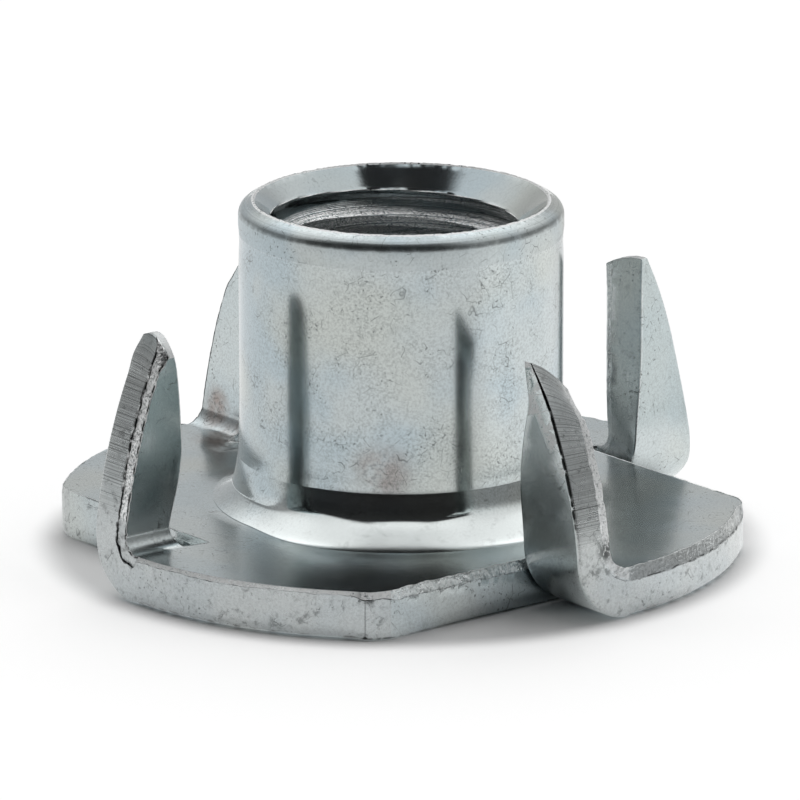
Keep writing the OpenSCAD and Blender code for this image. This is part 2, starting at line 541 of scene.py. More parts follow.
# %% Profile of the barrel
# Three profiles of the foot, as radius past the wall and height above the
# flange: the plain one, one where the punch sat deeper, and the flared front
FOOT = np.array([
    (1, 0), (0.96, 0.01), (0.88, 0.055), (0.72, 0.16), (0.56, 0.275), (0.4, 0.4), (0.26, 0.53),
    (0.22, 0.57), (0.205, 0.61), (0.15, 0.9), (0.09, 1.22), (0.03, 1.56), (0.012, 1.65), (0, 1.72)])
DEEPER = np.array([
    (1.45, 0), (1.4, 0.01), (1.28, 0.06), (1.05, 0.18), (0.83, 0.31), (0.62, 0.45), (0.42, 0.62),
    (0.33, 0.72), (0.29, 0.8), (0.2, 1.05), (0.12, 1.3), (0.04, 1.6), (0.015, 1.68), (0, 1.74)])
FLARED = np.array([
    (1.76, 0), (1.67, 0.012), (1.56, 0.048), (1.43, 0.118), (1.23, 0.25), (0.9, 0.48),
    (0.56, 0.718), (0.36, 0.88), (0.25, 1.02), (0.17, 1.2), (0.1, 1.42), (0.04, 1.62),
    (0.015, 1.69), (0, 1.75)])


def resampled(profile):
    """The same profile with every step halved and its corners eased."""
    halves = np.arange(2 * len(profile) - 1) / 2
    fine = np.column_stack([np.interp(halves, np.arange(len(profile)), column) for column in profile.T])
    eased = fine.copy()
    eased[2:-2] = (fine[:-4] + 4 * fine[1:-3] + 6 * fine[2:-2] + 4 * fine[3:-1] + fine[4:]) / 16
    return eased


FOOT, DEEPER, FLARED = resampled(FOOT), resampled(DEEPER), resampled(FLARED)
land_end_x = barrel_r - rim_r + rim_r * math.sin(land_slope)
land_end_z = nut_h - (land_end_x - mouth_r) * math.tan(land_slope)
rim_z = land_end_z - rim_r * math.cos(land_slope)
deeper_at, flared_at = math.radians(-20), math.radians(-75)
foot_h = 1.6
# The drawn wall's departures from a plain cylinder
taper_slope, taper_top, taper_h = 0.02, 5.6, 2.1
lip_out, lip_z, lip_reach = 0.02, 12.3, 0.25
pinch_in, pinch_z, pinch_reach = 0.03, 11.65, 0.5
foot_out = 0.042


def barrel_points_at(angle):
    """Radius and height of the barrel's outside at one angle, from the flange up to the crest."""
    foot = FOOT + (DEEPER - FOOT) * ease(math.cos(angle - deeper_at), 0.55, 0.95)
    foot = foot + (FLARED - foot) * ease(math.cos(angle - flared_at), 0.35, 0.85)
    flat = np.linspace(foot_ring_r, barrel_r + foot[0, 0], 4)[:-1]
    wall = np.linspace(sheet_t + foot[-1, 1], rim_z, 26)[1:-1]
    rounding = np.linspace(0, math.pi / 2 - land_slope, 9)
    land = np.linspace(0, 1, 7)[1:]
    radius, height = np.hstack([
        (flat, np.full(len(flat), sheet_t)),
        (barrel_r + foot[:, 0], sheet_t + foot[:, 1]),
        (np.full(len(wall), barrel_r), wall),
        (barrel_r - rim_r + rim_r * np.cos(rounding), rim_z + rim_r * np.sin(rounding)),
        (land_end_x + (mouth_r - land_end_x) * land, land_end_z + (nut_h - land_end_z) * land),
    ])
    return drawn_out(radius, height), height


def drawn_out(radius, height):
    """Widens the wall towards its foot, and pinches it under the lip."""
    taper = taper_slope * np.clip(taper_top - height, 0, taper_h) * (height > sheet_t + foot_h)
    lip = lip_out * bell(height, lip_z, lip_reach) - pinch_in * bell(height, pinch_z, pinch_reach)
    foot = foot_out * (height < sheet_t + foot_h) * (height > sheet_t + 0.01)
    return radius + taper + lip + foot


def barrel_skin():
    """Points and quads of the barrel's outside, row by row from the flange up."""
    sides = [barrel_points_at(angle) for angle in ring_angles]
    rows = len(sides[0][0])
    points = np.array([[radius[row] * math.cos(a), radius[row] * math.sin(a), height[row]]
                       for row in range(rows) for a, (radius, height) in zip(ring_angles, sides)])
    quads = [(row * columns + k, row * columns + (k + 1) % columns,
              (row + 1) * columns + (k + 1) % columns, (row + 1) * columns + k)
             for row in range(rows - 1) for k in range(columns)]
    return points, quads


def wear_crest(points):
    """Nicks the sharp crest of the mouth. What lies there moves the same from both sides."""
    radius = np.hypot(points[:, 0], points[:, 1])
    crest = ease(points[:, 2], nut_h - 0.22, nut_h) * bell(radius, mouth_r, 0.2)
    ring = np.column_stack([points[:, :2] / radius[:, None] * mouth_r, np.zeros(len(points))])
    worn = points.copy()
    chipped = crest > 0.01
    worn[chipped, 2] -= 0.035 * crest[chipped] * np.clip(grain(ring[chipped], 0.16, 53, 4) + 0.3, 0, 1)
    return worn


def at_crest(points):
    """The painted glint: 1 on the sharp crest of the mouth, fading to 0 close beside it."""
    radius = np.hypot(points[:, 0], points[:, 1])
    return ease(points[:, 2], nut_h - 0.12, nut_h - 0.03) * bell(radius, mouth_r, 0.1)


barrel_points, barrel_quads = barrel_skin()
barrel_points = wear_crest(barrel_points)
print(f"barrel outside {len(barrel_quads)} quads")

# %% [markdown]
# ## Node trees in Python
#
# Geometry Nodes and shaders are both written with the same two classes. A Wire
# is a socket, and Python's operators on it add Math nodes, so a formula reads
# as a formula. A Graph adds any other node from its type, its settings and the
# values or wires of its sockets.


# %% Wire and Graph
def math_node(operation, reflected=False):
    """An operator that adds a Math node. A reflected one has its wire on the right."""
    def add_node(wire, other):
        sides = [other, wire] if reflected else [wire, other]
        return wire.graph.wire("ShaderNodeMath", {"operation": operation}, sides)
    return add_node


class Wire:
    """A node's output. Operators on it add Math nodes."""
    __add__ = __radd__ = math_node("ADD")
    __mul__ = __rmul__ = math_node("MULTIPLY")
    __sub__, __rsub__ = math_node("SUBTRACT"), math_node("SUBTRACT", True)
    __truediv__, __rtruediv__ = math_node("DIVIDE"), math_node("DIVIDE", True)

    def __init__(self, graph, socket):
        self.graph = graph
        self.socket = socket

    def math(self, operation, *others):
        return self.graph.wire("ShaderNodeMath", {"operation": operation}, [self, *others])


class Graph:
    """Adds nodes to a tree."""

    def __init__(self, tree):
        self.nodes = tree.nodes
        self.links = tree.links

    def node(self, kind, settings=None, inputs=None):
        made = self.nodes.new(kind)
        for name, value in (settings or {}).items():
            setattr(made, name, value)
        pairs = inputs.items() if isinstance(inputs, dict) else enumerate(inputs or [])
        for key, value in pairs:
            if isinstance(value, Wire):
                self.links.new(value.socket, made.inputs[key])
            else:
                made.inputs[key].default_value = value
        return made

    def wire(self, kind, settings=None, inputs=None, output=0):
        return Wire(self, self.node(kind, settings, inputs).outputs[output])

    def xyz(self, vector):
        """The three numbers of a vector."""
        axes = self.node("ShaderNodeSeparateXYZ", None, [vector])
        return [Wire(self, number) for number in axes.outputs]

    def attribute(self, name):
        return self.wire("ShaderNodeAttribute", {"attribute_name": name}, None, "Fac")


def new_graph(owner):
    """An empty node tree for a material or a world."""
    owner.use_nodes = True
    owner.node_tree.nodes.clear()
    return Graph(owner.node_tree)


# %% [markdown]
# ## The threaded wall
#
# The wall inside follows a rule, so Geometry Nodes make it from a flat grid:
# one side of the grid goes round the axis and the other climbs it. At each
# point the wall lies at the largest of three radii: the thread's, the
# countersink's and that of the rounded entry under the flange. Rows that come
# near a corner of the thread's profile are moved onto it, which keeps the
# thread crisp with few rows. A screw modifier would need a boolean to cut the
# mouth.

# %% Thread sizes and the tree
zinc = bpy.data.materials.new("bright_zinc")
flank_slope = math.tan(math.radians(30))
wall_sizes = {
    "Pitch": thread_pitch,
    "Minor radius": bore_r,
    "Thread depth": 0.5413 * thread_pitch,
    "Half crest": thread_pitch / 8,
    "Mouth radius": mouth_r,
    "Height": nut_h,
    "Entry radius": entry_r,
    "Start": 0.297,
    "Wear": 0.03,
    "Wear size": 0.2,
    "Burr": 0.02,
    "Burr width": 0.09,
    "Fine rows from": 11.4,
    "Coarse step": 0.15,
    "Fine step": 0.05,
}
# The painted glint along the burr shows on the rows that lie less than this below the top
glint_rows_h = 3.0
weld_distance = 1e-4
coarse_rows = round(wall_sizes["Fine rows from"] / wall_sizes["Coarse step"])
fine_rows = round((nut_h - wall_sizes["Fine rows from"]) / wall_sizes["Fine step"])


def wall_height(v, size):
    """Height up the wall at v along the grid: coarse rows below, fine rows near the mouth."""
    split = coarse_rows / (coarse_rows + fine_rows)
    low, fine = size["Fine rows from"], (v - split) / (1 - split)
    return low * (v / split).math("MINIMUM", 1.0) + (size["Height"] - low) * fine.math("MAXIMUM", 0.0)


def thread_radius(z, u, size):
    """Radius of the thread, and how far the row moves to meet a corner of its profile."""
    pitch, half_crest, depth = size["Pitch"], size["Half crest"], size["Thread depth"]
    offset = ((z / pitch - u + size["Start"]).math("FRACT") - 0.5) * pitch
    apart = offset.math("ABSOLUTE")
    fine = z.math("GREATER_THAN", size["Fine rows from"])
    reach = (size["Coarse step"] + (size["Fine step"] - size["Coarse step"]) * fine) * 0.5
    inner = z.math("GREATER_THAN", 1e-6) * z.math("LESS_THAN", size["Height"] - 1e-6)
    moved = apart
    for corner in (half_crest, half_crest + depth * flank_slope):
        near = apart.math("COMPARE", corner, reach) * inner
        moved = moved + (corner - apart) * near
    rise = ((moved - half_crest) / flank_slope).math("MAXIMUM", 0.0)
    radius = size["Minor radius"] + rise.math("MINIMUM", depth)
    return radius, offset.math("SIGN") * (moved - apart)


def wall_tree():
    tree = bpy.data.node_groups.new("threaded_wall", "GeometryNodeTree")
    tree.is_modifier = True
    for name in wall_sizes:
        tree.interface.new_socket(name, in_out="INPUT", socket_type="NodeSocketFloat")
    tree.interface.new_socket("Geometry", in_out="OUTPUT", socket_type="NodeSocketGeometry")
    graph = Graph(tree)
    group = graph.node("NodeGroupInput")
    size = {name: Wire(graph, group.outputs[name]) for name in wall_sizes}
    wall = graph.wire("GeometryNodeMeshGrid", None, {
        "Size X": 1.0, "Size Y": 1.0,
        "Vertices X": columns + 1, "Vertices Y": coarse_rows + fine_rows + 1})
    across, up, _ = graph.xyz(graph.wire("GeometryNodeInputPosition"))
    u, v = across + 0.5, up + 0.5
    minor, rounding, height = size["Minor radius"], size["Entry radius"], size["Height"]
    z = wall_height(v, size)
    thread, shift = thread_radius(z, u, size)
    z = z + shift
    cone = size["Mouth radius"] - (height - z)
    below = (rounding - z).math("MAXIMUM", 0.0)
    entry = minor + rounding - (rounding * rounding - below * below).math("SQRT")
    turn = u * (2 * math.pi)
    cosine, sine = turn.math("COSINE"), turn.math("SINE")
    around = graph.wire("ShaderNodeCombineXYZ", None, [minor * cosine, minor * sine, z])
    wear = graph.wire("ShaderNodeTexNoise", None, {"Vector": around, "Scale": 1.0 / size["Wear size"]})
    thread = thread + wear * size["Wear"]
    apart = (cone - thread) / size["Burr width"]
    lip = (0.0 - apart * apart).math("EXPONENT")
    burr = lip * (wear * 3.0 - 0.8).math("MAXIMUM", 0.3)
    radius = thread.math("MAXIMUM", cone).math("MAXIMUM", entry) - burr * size["Burr"]
    place = graph.wire("ShaderNodeCombineXYZ", None, [radius * cosine, radius * sine, z])
    # The painted glint along the burr's lip, on the rows near the top
    burred = lip * (z + glint_rows_h - height).math("MINIMUM", 1.0)
    for kind, inputs in (
            ("StoreNamedAttribute", {"Name": "burred", "Value": burred}),
            ("SetPosition", {"Position": place}),
            ("MergeByDistance", {"Distance": weld_distance}),
            ("RealizeInstances", {}),
            ("SetMaterial", {"Material": zinc})):
        wall = graph.wire("GeometryNode" + kind, None, {"Geometry": wall} | inputs)
    graph.node("NodeGroupOutput", None, [wall])
    return tree


def grow_wall():
    """Evaluates the tree once, and returns the wall's points, its faces and the painted glint along its
    burr.
    """
    tree = wall_tree()
    holder = add_object("wall", bpy.data.meshes.new("wall"))
    modifier = holder.modifiers.new("threaded wall", "NODES")
    modifier.node_group = tree
    for item in tree.interface.items_tree:
        if item.in_out == "INPUT":
            modifier[item.identifier] = wall_sizes[item.name]
    evaluated = holder.evaluated_get(bpy.context.evaluated_depsgraph_get())
    mesh = bpy.data.meshes.new_from_object(evaluated)
    points = np.array([v.co[:] for v in mesh.vertices])
    faces = [tuple(p.vertices) for p in mesh.polygons]
    burred = np.clip([item.value for item in mesh.attributes["burred"].data], 0, 1)
    bpy.data.objects.remove(holder)
    bpy.data.meshes.remove(mesh)
    return points, faces, burred


wall_points, wall_faces, wall_glint = grow_wall()
wall_points = wear_crest(wall_points)
crest_d = 2 * np.hypot(*wall_points.T[:2]).min()
print(f"threaded wall {len(wall_faces)} faces, {crest_d:.2f} mm across its crests")

# %% [markdown]
# ## One closed skin
#
# The edge band, the two faces, the barrel's outside and the threaded wall meet
# along rings of shared points. Merged by distance they are one closed skin,
# like the one piece of steel that the nut is. Each point also keeps marks for
# the finish to read: how far round the edge it lies, and how sheared, torn and
# scored the press left it. Three more marks are painted light and shade:
# painted shade lines along the edge's seams, painted glints on burrs, tips,
# torn metal and crests, and painted shade on two prong faces.

# %% What the press did to each point, and the painted light and shade
MARKS = ("along", "sheared", "torn", "stroked", "cracked", "burred", "tarnished")
# How dark the painted shade lines are where the roll ends, the tear starts and it ends, by prong and
# kind
FAINT_SHADED_SEAMS = (0.0, 0.1, 0.0)
SHADED_SEAMS = {
    (BACK_RIGHT, "rim"): (0.5, 0.65, 0.0),
    (FRONT_LEFT, "rim"): (0.5, 0.2, 0.0),
    (FRONT_LEFT, "outer"): (0.0, 1.0, 0.9),
    (FRONT_RIGHT, "rim"): (0.55, 0.75, 0.0),
    (FRONT_RIGHT, "corner"): (0.55, 0.75, 0.0),
    (FRONT_RIGHT, "slit"): (0.5, 0.5, 0.0),
    (FRONT_RIGHT, "outer"): (1.5, 0.3, 0.1),
}


def stroke_strength():
    """How strongly the tools scored each outline point: most on standing edges and by the roots."""
    standing = ease(bend_offset - bend_length - outline.s, 0.2, 1.2)
    by_root = ease(outline.share, 0.55, 0.9)
    return (0.08 + of_kind("outer") * standing + of_kind("slit") * (0.1 + 0.9 * by_root)
            + 0.3 * of_kind("inner"))


def facet_highlight(points):
    """The painted highlight: 1 past the crease of the front right prong, and 0 elsewhere."""
    outward, height = outward_of(points, FRONT_RIGHT), points[:, 2]
    past = outward - flange_r + crease_in + facet_slope * (height - facet_height)
    return ease(outward, 7.5, 8.5) * ease(height, 2.5, 4.0) * ease(past, -0.1, 0.15)


def on_prong(points, prong):
    """1 on the standing part of one prong, and 0 elsewhere."""
    upright = ease(points[:, 2], sheet_t + 0.4, sheet_t + 1.6)
    return ease(outward_of(points, prong), 7.5, 9.0) * upright


def tarnished(points):
    """Painted shade for a darker reflection: strongest on the standing face of the front left prong."""
    cloudy = np.clip(0.75 + 0.9 * grain(points, 2.0, 67, 3), 0, 1)
    return np.maximum(on_prong(points, FRONT_LEFT) * cloudy, 0.42 * on_prong(points, BACK_RIGHT))


def edge_weights():
    """How strong each mark is at each outline point, all the way through the sheet."""
    left, right = outline.prong == FRONT_LEFT, outline.prong == FRONT_RIGHT
    rim, tip, slit, inner, outer = (of_kind(name) for name in ("rim", "tip", "slit", "inner", "outer"))
    clean_cut = inner | (slit & (left | right))
    smooth_tear = inner | of_kind("end") | (left & (tip | slit))
    return {
        "along": outline.along,
        "sheared": 1 - 0.7 * clean_cut,
        "torn": 1 - 0.7 * smooth_tear - 0.45 * (outer & right),
        "stroked": stroke_strength() * (1 - 0.8 * (slit & left)),
        # Painted highlights on tips and on torn metal, and a streak of painted shade
        "tip glint": tip * (1.0 * right + 0.55 * left),
        "tear glint": right * (1.0 * (rim | of_kind("corner")) + 0.5 * outer),
        "shade_streak": outer & left,
    }


def shaded_seam_strengths():
    """How dark each outline point's three painted shade lines are, broken up here and there."""
    seams = at_each_point(SHADED_SEAMS, dict.fromkeys(KINDS, FAINT_SHADED_SEAMS))
    standing = ease(bend_offset - bend_length - outline.s, 0.6, 2.0)
    seams[:, 0] *= np.where(of_kind("outer"), standing, 1)
    broken = np.clip(0.7 + 1.2 * grain(outline.xy @ np.eye(2, 3), 0.35, 61, 3), 0.15, 1)
    return seams * broken[:, None]


# %% Joining the parts of the skin
def band_block():
    """The edge band: its points on the pressed nut, its quads and its marks."""
    count = len(outline.along)
    points = bend_up(edge_xy.reshape(-1, 2), edge_h.ravel())
    quads = [(k * edge_rows + j, ((k + 1) % count) * edge_rows + j,
              ((k + 1) % count) * edge_rows + j + 1, k * edge_rows + j + 1)
             for k in range(count) for j in range(edge_rows - 1)]
    row = np.tile(np.arange(edge_rows), count)
    first_torn = len(roll_angles) + len(burnish_shares) - 1
    burr_row, last_row = edge_rows - 2, edge_rows - 1
    # The three painted shade lines along the seams, and one down the front right flange corner
    roll_line, tear_line, end_line = np.repeat(shaded_seam_strengths(), edge_rows, axis=0).T
    corner = np.flatnonzero(of_kind("corner") & (outline.prong == FRONT_RIGHT))
    corner_line = np.repeat(np.arange(count) == corner[len(corner) // 6], edge_rows)
    edge = {name: np.repeat(weight, edge_rows) for name, weight in edge_weights().items()}
    # A streak of painted shade high on the front left prong's outer edge
    shade_streak = edge["shade_streak"] * ease(points[:, 2], 8.4, 9.6) * (row > 2) * (row <= first_torn)
    marks = {
        "along": edge["along"],
        "sheared": ((row >= 2) & (row < last_row)) * edge["sheared"],
        # Painted shade along the seams
        "cracked": (roll_line * (row > 0) * (row < 3) + 0.5 * corner_line * (row > 1)
                    + tear_line * (row == first_torn + 1) + end_line * (row == burr_row - 1)),
        # Painted glints on the burr row, on torn metal and on tips
        "burred": ((row == burr_row) + (row > first_torn + 1) * edge["tear glint"]
                   + edge["tip glint"]) * (row < last_row),
        "torn": ((row > first_torn) & (row < last_row)) * edge["torn"],
        # Painted shade on the rims of the prong faces, and along its streak
        "tarnished": tarnished(points) * ((row == 0) | (row == last_row)) + 0.9 * shade_streak,
        "stroked": edge["stroked"],
    }
    return points, quads, marks


def face_block(boundary, ring_r, seeds, faces, height):
    """One face of the sheet. The upper one has the dents, and the other the painted highlight on a
    facet.
    """
    flat = np.vstack([boundary, circle(ring_r), seeds])
    levels = np.full(len(flat), height)
    if height > 0:
        added = slice(len(boundary) + columns, None)
        for x, y, radius, depth in DENTS:
            levels[added] -= depth * bell(np.hypot(flat[added, 0] - x, flat[added, 1] - y), 0, radius)
    points = bend_up(flat, levels)
    # Painted shade on two prong faces, and a painted highlight on the front right prong's facet
    marks = {"tarnished": tarnished(points), "burred": 0.62 * (height == 0) * facet_highlight(points)}
    return points, [tuple(face) for face in faces], marks


def join_blocks(blocks):
    """One mesh from blocks of points, faces and marks."""
    starts = np.cumsum([0] + [len(points) for points, _, _ in blocks])
    points = np.vstack([block[0] for block in blocks])
    faces = [tuple(int(k) + int(start) for k in face)
             for start, (_, block_faces, _) in zip(starts, blocks) for face in block_faces]
    mesh = bpy.data.meshes.new("tee_nut_skin")
    mesh.from_pydata(points * MM, [], faces)
    for name in MARKS:
        values = [marks.get(name, np.zeros(len(points))) for points, _, marks in blocks]
        layer = mesh.attributes.new(name, "FLOAT", "POINT")
        layer.data.foreach_set("value", np.concatenate(values).astype(np.float32))
    block_of = np.repeat(np.arange(len(blocks)), [len(block[1]) for block in blocks])
    mesh.attributes.new("block", "INT", "FACE").data.foreach_set("value", block_of.astype(np.int32))
    return mesh


def close_skin(mesh, merge_mm=0.0005, sharp_angle=math.radians(33)):
    """Merges the blocks. Edges are smooth but for sharp angles and the burr round the upper face."""
    skin = bmesh.new()
    skin.from_mesh(mesh)
    bmesh.ops.remove_doubles(skin, verts=skin.verts, dist=merge_mm * MM)
    bmesh.ops.recalc_face_normals(skin, faces=skin.faces)
    open_edges = sum(not edge.is_manifold for edge in skin.edges)
    block = skin.faces.layers.int["block"]
    for face in skin.faces:
        face.smooth = True
    for edge in skin.edges:
        burr_line = {face[block] for face in edge.link_faces} == {0, 1}
        edge.smooth = not burr_line and edge.calc_face_angle(0.0) < sharp_angle
    skin.to_mesh(mesh)
    skin.free()
    return open_edges


skin_mesh = join_blocks([
    band_block(),
    face_block(edge_xy[:, -1], foot_ring_r, top_seeds, top_faces, sheet_t),
    face_block(edge_xy[:, 0], entry_ring_r, under_seeds, under_faces, 0.0),
    # Painted glints on the crest of the mouth and along the thread's burr
    (barrel_points, barrel_quads, {"burred": at_crest(barrel_points)}),
    (wall_points, wall_faces, {"burred": np.maximum(wall_glint, at_crest(wall_points))}),
])
open_edges = close_skin(skin_mesh)
triangles = sum(len(p.vertices) - 2 for p in skin_mesh.polygons)
print(f"skin of {triangles} triangles with {open_edges} open edges")
nut = add_object("tee_nut_skin", skin_mesh)
skin_mesh.materials.append(zinc)

# %% [markdown]
# ## Bright zinc
#
# Zinc plated on rolled steel and passivated is a mirror that isn't quite clean.
# The passivate leaves faint blue, green and yellow tints, handling leaves fine
# dark specks and hairlines, and the sheared edges keep the press's marks under
# the plating. All of it comes from noise in the nut's own space, in mm, so it
# sits on any face without a seam. The marks on the edges read how far round
# the edge a point lies, which draws them straight through the sheet. Some
# colours are painted light and shade: white glints on burrs, crests, torn
# metal and the thread, a highlight on the front of the barrel's foot, dark
# lines of shade along the edge's seams, and shade on two prong faces and in a pit.

# %% Colours, stains and painted light
PALE = (0.500, 0.545, 0.550, 1)
COOL = (0.440, 0.510, 0.540, 1)
WARM = (0.515, 0.540, 0.510, 1)
# Painted shade: the darker reflection on two prong faces
SHADE_TEAL = (0.230, 0.295, 0.300, 1)
RUSTY = (0.330, 0.290, 0.270, 1)
STAIN = (0.090, 0.098, 0.096, 1)
# Painted shade for the dark lines along the edge's seams
SEAM_SHADE = (0.020, 0.022, 0.022, 1)
# Painted glints
GLINT_WHITE = (0.860, 0.870, 0.870, 1)
EDGE = (0.500, 0.510, 0.510, 1)
# Lighter zinc on the rolled sheet, most on the prongs higher up
PALER = (0.620, 0.665, 0.660, 1)
# Painted highlight on the barrel's foot
FOOT_HIGHLIGHT = (0.710, 0.750, 0.745, 1)
# Stains where water stood: place and reach in mm, and strength
STAINS = [((-0.7, -6.0, 4.3), 1.5, 0.75), ((-6.8, 7.6, 1.8), 1.5, 0.8), ((-7.2, 9.0, 2.6), 1.1, 1.0)]
# Painted shade of a pit at the front right prong's root
PIT_SHADE = [((7.30, -10.30, 2.7), 0.60, 0.9)]


# %% Brushes
def painted(colour, *layers):
    """Paints colours over one another, each as far as its factor from 0 to 1."""
    for factor, layer in layers:
        sockets = {0: factor, 6: colour, 7: layer}
        colour = factor.graph.wire("ShaderNodeMix", {"data_type": "RGBA"}, sockets, 2)
    return colour


def strongest(first, *others):
    """The largest of several values."""
    for other in others:
        first = first.math("MAXIMUM", other)
    return first


def speckle(where, size, detail=2.0, roughness=0.5):
    """Noise from 0 to 1, whose features are size mm across."""
    return where.graph.wire("ShaderNodeTexNoise", None, {
        "Vector": where, "Scale": 1 / size, "Detail": detail, "Roughness": roughness})


def stripes(along, size, detail=2.0, roughness=0.6):
    """Noise along a single value, which draws lines across it."""
    return along.graph.wire("ShaderNodeTexNoise", {"noise_dimensions": "1D"}, {
        "W": along, "Scale": 1 / size, "Detail": detail, "Roughness": roughness})


def ramp(value, low, high):
    """0 below low, 1 above high, and smooth between them."""
    return value.graph.wire("ShaderNodeMapRange", {"interpolation_type": "SMOOTHSTEP"}, {
        "Value": value, "From Min": low, "From Max": high})


def hairlines(where, size, width, share):
    """Short thin lines: the walls of distorted cells, kept on part of the surface."""
    graph = where.graph
    bent = speckle(where, size * 0.7, 1.0)
    shift = graph.wire("ShaderNodeCombineXYZ", None, [bent * (k * size) for k in (1.0, -0.6, 0.8)])
    shifted = graph.wire("ShaderNodeVectorMath", {"operation": "ADD"}, [where, shift])
    wall = graph.wire("ShaderNodeTexVoronoi", {"feature": "DISTANCE_TO_EDGE"}, {
        "Vector": shifted, "Scale": 1 / size})
    kept = ramp(speckle(where, size * 0.5), share, share + 0.06)
    return (1.0 - ramp(wall, 0.0, width / size)) * kept


def stained(where, places):
    """As strong as each stain in its middle, and 0 away from them."""
    spots = []
    for place, reach, strength in places:
        away = where.graph.wire("ShaderNodeVectorMath", {"operation": "DISTANCE"}, [where, place], 1)
        spots.append((1.0 - ramp(away, 0.3 * reach, reach)) * strength)
    return strongest(*spots)


# %% Zones and patterns
def zones_of_nut(where):
    """How far a point belongs to each zone of the nut, from 0 to 1, and its radius and height."""
    x, y, z = where.graph.xyz(where)
    radius = (x * x + y * y).math("SQRT")
    marks = {name: where.graph.attribute(name) for name in MARKS}
    zone = SimpleNamespace(radius=radius, z=z, **marks)
    zone.turned = ramp(z, nut_h - 1.3, nut_h - 1.2)
    zone.bored = 1.0 - ramp(radius, mouth_r - 0.05, mouth_r)
    zone.tapped = zone.bored * (1.0 - zone.turned)
    zone.drawn = (1.0 - ramp(radius, barrel_r + 0.3, barrel_r + 1.2)) * (1.0 - zone.turned)
    zone.rolled = (1.0 - zone.turned) * (1.0 - zone.drawn)
    zone.upright = ramp(z, sheet_t + 1.0, sheet_t + 2.5)
    zone.scored = ramp(zone.stroked, 0.0, 0.5)
    front = ramp(0.0 - y, 2.5, 5.0)
    # A painted highlight on the barrel's foot, strongest at the front
    foot = (1.0 - ramp(radius, barrel_r + 1.6, barrel_r + 2.0)) * ramp(z, sheet_t, sheet_t + 0.05)
    zone.foot = foot * (1.0 - ramp(z, sheet_t + 0.7, sheet_t + 1.2)) * (0.15 + front * 0.85)
    shoulder = ramp(z, rim_z - 0.04, rim_z + 0.04) * (1.0 - ramp(z, rim_z + 0.18, rim_z + 0.26))
    zone.shoulder = shoulder * (1.0 - zone.bored)
    zone.land = ramp(z, rim_z + 0.1, rim_z + 0.2) * (1.0 - zone.bored)
    zone.rounded = zone.turned * ramp(radius, barrel_r - rim_r, barrel_r - rim_r * 0.6)
    zone.stain = stained(where, STAINS)
    # Painted shade of a pit
    zone.pit = stained(where, PIT_SHADE)
    return zone


def patterns_of_zinc(where, zone):
    """The noises that the finish is made of, coarse ones first."""
    return SimpleNamespace(
        tint=speckle(where, 5.0, 1.0),
        cloud=speckle(where, 3.2),
        patch=speckle(where, 1.7, 4.0, 0.6),
        lines=hairlines(where, 0.9, 0.022, 0.50),
        mottle=speckle(where, 0.45, 3.0, 0.65),
        pits=speckle(where, 0.2, 3.0, 0.65),
        dots=speckle(where, 0.13, 1.0),
        crumbs=speckle(where, 0.13, 2.0, 0.6),
        bright=speckle(where, 0.10, 2.0, 0.6),
        grit=speckle(where, 0.09, 2.0, 0.6),
        strokes=stripes(zone.along, 0.06, 3.0, 0.75),
        rings=stripes(zone.radius - zone.z * 0.6, 0.07),
        turns=stripes(zone.z + zone.radius * 0.5, 0.06))


# %% Layers of the finish
def dark_marks(zone, pattern):
    """How dark a point is: specks and hairlines first, then what each zone adds."""
    patch, crumbs, mottle = pattern.patch, pattern.crumbs, pattern.mottle
    dots = ramp(pattern.dots, 0.64, 0.72) * ramp(patch, 0.42, 0.60)
    lines = pattern.lines * ramp(patch, 0.30, 0.60)
    dusty = 0.22 + zone.drawn * (0.04 + ramp(patch, 0.42, 0.66) * 0.20)
    marks = strongest(dots * 0.7, lines * 0.8, ramp(pattern.grit, 0.35, 0.75) * dusty)
    pitted = ramp(pattern.pits, 0.47, 0.74) * ramp(patch, 0.34, 0.60)
    marks = strongest(
        marks * (1.0 - zone.foot * 0.85),
        ramp(crumbs, 0.50, 0.62) * zone.stain * 0.55,
        ramp(mottle, 0.54, 0.72) * (0.14 + zone.sheared * 0.50),
        pitted * zone.sheared * (1.0 - zone.stroked * 0.7) * 0.55,
        ramp(pattern.strokes, 0.43, 0.72) * zone.stroked * zone.sheared * 0.82,
        ramp(crumbs, 0.52, 0.62) * zone.torn * (0.3 + zone.scored * 0.5),
        ramp(crumbs, 0.50, 0.66) * zone.tapped * 0.6)
    return strongest(
        marks * (1.0 - zone.turned * zone.bored * 0.6),
        zone.shoulder * ramp(mottle, 0.30, 0.55) * 0.45,
        ramp(pattern.rings, 0.56, 0.64) * zone.land * 0.30)


